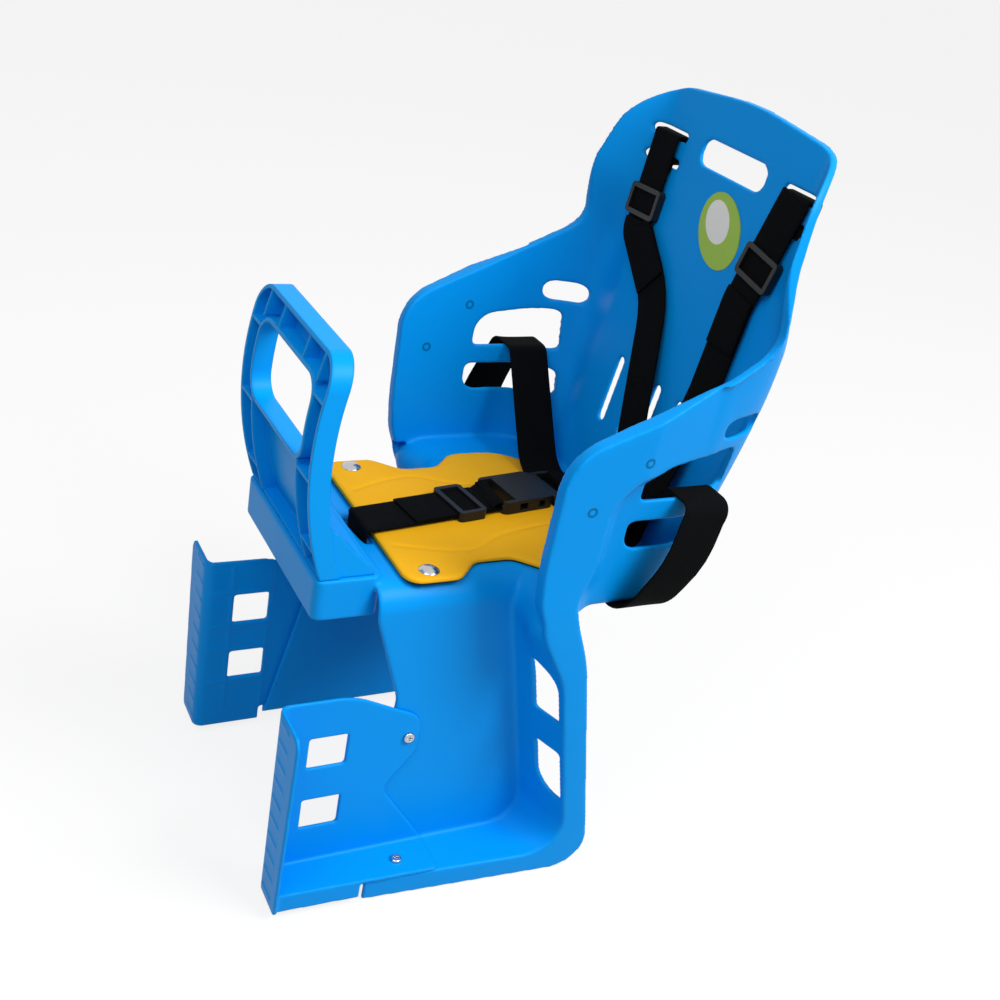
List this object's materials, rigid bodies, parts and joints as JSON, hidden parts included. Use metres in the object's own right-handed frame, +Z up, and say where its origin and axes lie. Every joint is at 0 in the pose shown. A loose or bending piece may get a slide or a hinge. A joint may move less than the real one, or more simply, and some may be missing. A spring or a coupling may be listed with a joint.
{
  "type": "rear child bike seat",
  "caption": "Rear child bike seat: moulded shell with leg channels and foot guards, ribbed grab bar, foam pad and webbing harness; bolts to a bicycle's rear rack.",
  "frame": {"origin": "middle of the four rack bolt holes, on the underside of the seat pan", "axes": "+Z up, -Y the way the child faces, +X the child's left"},
  "size_m": [0.3082, 0.362, 0.5884],
  "materials": {
    "shell": "satin",
    "guard": "satin",
    "bar": "satin",
    "foam": "matt",
    "webbing": "woven",
    "black_plastic": "satin",
    "steel": "bright"
  },
  "bodies": {
    "seat": {"seat_shell": "shell", "foot_guard_left": "guard", "foot_guard_right": "guard", "guard_screws": "steel", "guard_nuts": "steel", "grab_bar": "bar", "grab_bar_screws": "steel", "seat_pad": "foam", "pad_snaps": "steel", "crotch_strap": "webbing", "crotch_rod": "steel", "buckle_housing": "black_plastic", "buckle_insert": "black_plastic", "buckle_strap": "webbing", "lap_strap_left": "webbing", "lap_strap_right": "webbing", "shoulder_strap_left": "webbing", "shoulder_strap_right": "webbing"},
    "strap_slider_left": {"shoulder_adjuster_left": "black_plastic"},
    "strap_slider_right": {"shoulder_adjuster_right": "black_plastic"},
    "strap_slider_crotch": {"crotch_adjuster": "black_plastic"}
  },
  "joints": [
    {"name": "left_strap_slide", "type": "slide", "parent": "seat", "child": "strap_slider_left", "axis": [-0.1552, -0.1545, -0.9757], "range_m": [-0.01, 0.006]},
    {"name": "right_strap_slide", "type": "slide", "parent": "seat", "child": "strap_slider_right", "axis": [0.0449, -0.1563, -0.9867], "range_m": [-0.01, 0.006]},
    {"name": "crotch_strap_slide", "type": "slide", "parent": "seat", "child": "strap_slider_crotch", "axis": [-0.1392, 0.9903, 0], "range_m": [-0.03, 0.003]}
  ]
}
